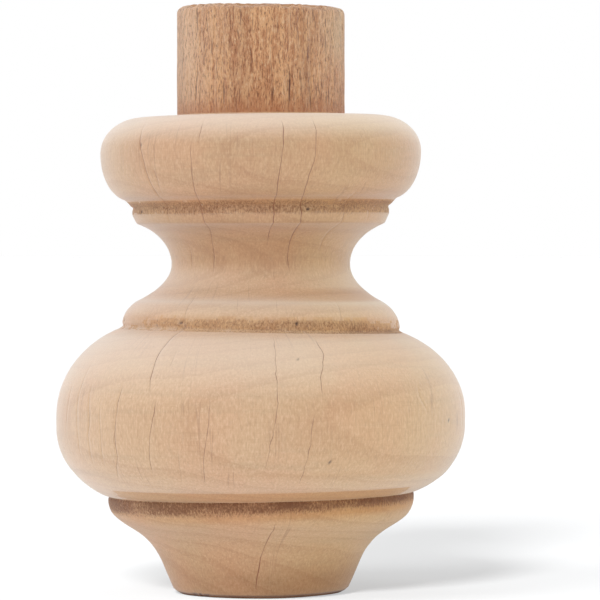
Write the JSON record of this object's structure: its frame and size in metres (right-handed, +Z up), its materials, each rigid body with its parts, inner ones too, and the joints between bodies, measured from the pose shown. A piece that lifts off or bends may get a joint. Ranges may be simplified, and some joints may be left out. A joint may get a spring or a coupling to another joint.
{
  "type": "furniture foot",
  "caption": "Turned raw hardwood furniture foot, a bun under a bead, with a dowel tenon on top.",
  "frame": {"origin": "centre of the toe that rests on the floor", "axes": "+Z up along the turning's axis, towards the dowel tenon"},
  "size_m": [0.0855, 0.0854, 0.1223],
  "materials": {
    "wood": "raw, sanded"
  },
  "bodies": {
    "root": {"turned_foot": "wood"}
  },
  "joints": []
}
